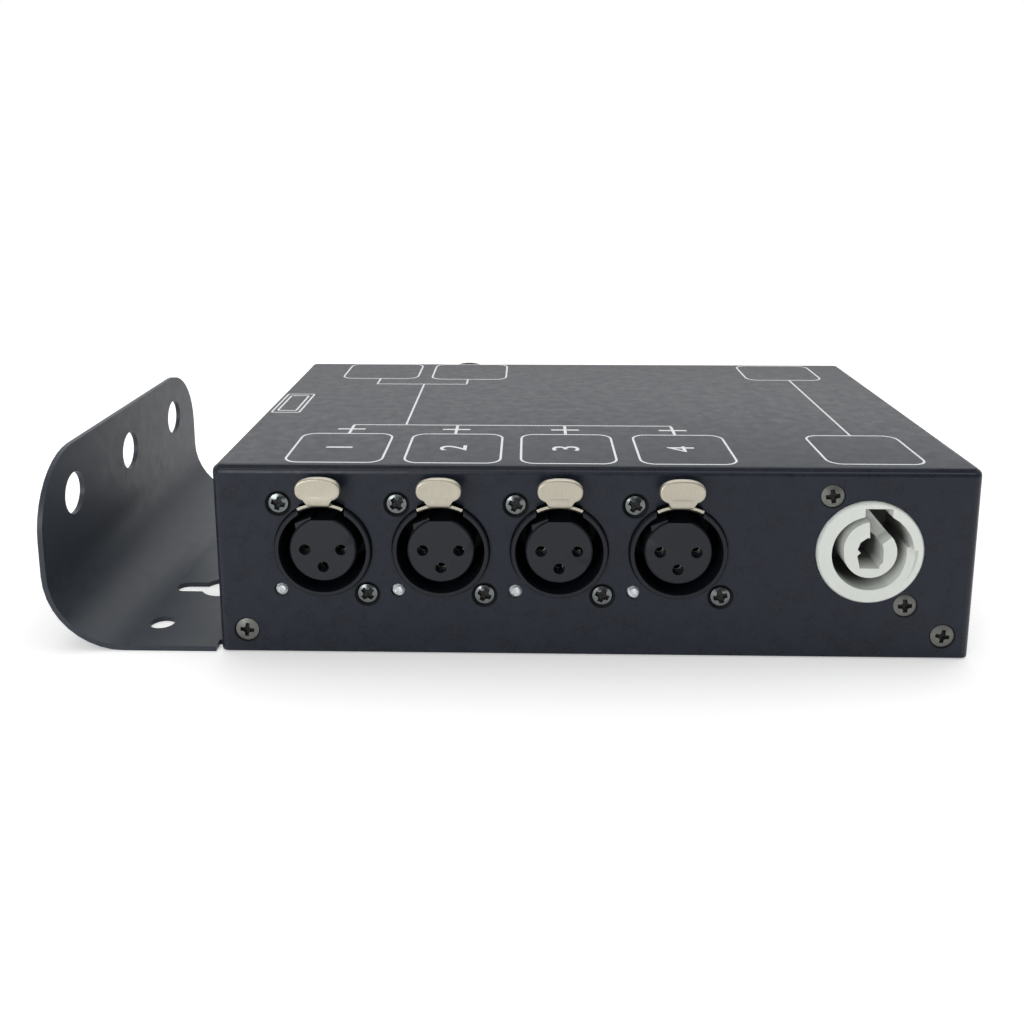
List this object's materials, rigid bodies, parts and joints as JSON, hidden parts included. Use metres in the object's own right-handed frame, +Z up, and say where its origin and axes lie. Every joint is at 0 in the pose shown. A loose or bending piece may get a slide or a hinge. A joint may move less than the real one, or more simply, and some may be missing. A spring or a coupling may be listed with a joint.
{
  "type": "dmx splitter",
  "caption": "Steel box that splits a lighting control line, with latching round sockets, twist-lock mains sockets and a hanging bracket.",
  "frame": {"origin": "middle of the box's footprint, on the underside of the base plate", "axes": "+X along the row of outputs towards the mains socket, +Y from the front panel to the back, +Z up"},
  "size_m": [0.2053, 0.112, 0.0435],
  "materials": {
    "grey_paint": "satin",
    "dark_paint": "satin",
    "black_plastic": "matte",
    "insert_plastic": "matte",
    "nickel": "satin",
    "silver_metal": "gloss",
    "zinc": "satin",
    "grey_zinc": "satin",
    "clear_lens": "gloss",
    "pale_plastic": "satin",
    "blue_plastic": "satin",
    "board_lacquer": "gloss",
    "nylon": "matte"
  },
  "bodies": {
    "splitter": {"top_cover": "grey_paint", "base_plate": "dark_paint", "mains_outlet": "pale_plastic", "mains_inlet": "blue_plastic", "circuit_board": "board_lacquer", "power_converter": "black_plastic", "mains_link": "black_plastic", "input_housing": "black_plastic", "output_1_housing": "black_plastic", "output_2_housing": "black_plastic", "output_3_housing": "black_plastic", "output_4_housing": "black_plastic", "thru_housing": "black_plastic", "output_1_insert": "insert_plastic", "output_2_insert": "insert_plastic", "output_3_insert": "insert_plastic", "output_4_insert": "insert_plastic", "thru_insert": "insert_plastic", "input_insert": "insert_plastic", "output_1_latch_spring": "silver_metal", "output_2_latch_spring": "silver_metal", "output_3_latch_spring": "silver_metal", "output_4_latch_spring": "silver_metal", "thru_latch_spring": "silver_metal", "input_pin_1": "silver_metal", "input_pin_2": "silver_metal", "input_pin_3": "silver_metal", "output_1_lamp": "clear_lens", "output_2_lamp": "clear_lens", "output_3_lamp": "clear_lens", "output_4_lamp": "clear_lens", "board_pillar_1": "nylon", "board_pillar_2": "nylon", "board_pillar_3": "nylon", "board_pillar_4": "nylon", "output_screw_1": "zinc", "output_screw_2": "zinc", "output_screw_3": "zinc", "output_screw_4": "zinc", "output_screw_5": "zinc", "output_screw_6": "zinc", "output_screw_7": "zinc", "output_screw_8": "zinc", "rear_socket_screw_1": "zinc", "rear_socket_screw_2": "zinc", "rear_socket_screw_3": "zinc", "rear_socket_screw_4": "zinc", "mains_screw_1": "grey_zinc", "mains_screw_2": "grey_zinc", "mains_screw_3": "grey_zinc", "mains_screw_4": "grey_zinc", "cover_screw_1": "grey_zinc", "cover_screw_2": "grey_zinc", "cover_screw_3": "grey_zinc", "cover_screw_4": "grey_zinc"},
    "output_1_latch": {"output_1_latch": "nickel"},
    "output_2_latch": {"output_2_latch": "nickel"},
    "output_3_latch": {"output_3_latch": "nickel"},
    "output_4_latch": {"output_4_latch": "nickel"},
    "thru_latch": {"thru_latch": "nickel"}
  },
  "joints": [
    {"name": "output_1_latch_press", "type": "hinge", "parent": "splitter", "child": "output_1_latch", "pos_m": [-0.05905, -0.0461, 0.03565], "axis": [-1, 0, 0], "range_deg": [0, 8], "stiffness_Nm_per_rad": 0.02, "springref_deg": -11.46},
    {"name": "output_2_latch_press", "type": "hinge", "parent": "splitter", "child": "output_2_latch", "pos_m": [-0.03322, -0.0461, 0.03565], "axis": [-1, 0, 0], "range_deg": [0, 8], "stiffness_Nm_per_rad": 0.02, "springref_deg": -11.46},
    {"name": "output_3_latch_press", "type": "hinge", "parent": "splitter", "child": "output_3_latch", "pos_m": [-0.00739, -0.0461, 0.03565], "axis": [-1, 0, 0], "range_deg": [0, 8], "stiffness_Nm_per_rad": 0.02, "springref_deg": -11.46},
    {"name": "output_4_latch_press", "type": "hinge", "parent": "splitter", "child": "output_4_latch", "pos_m": [0.01844, -0.0461, 0.03565], "axis": [-1, 0, 0], "range_deg": [0, 8], "stiffness_Nm_per_rad": 0.02, "springref_deg": -11.46},
    {"name": "thru_latch_press", "type": "hinge", "parent": "splitter", "child": "thru_latch", "pos_m": [-0.03322, 0.0461, 0.03645], "axis": [1, 0, 0], "range_deg": [0, 8], "stiffness_Nm_per_rad": 0.02, "springref_deg": -11.46}
  ]
}
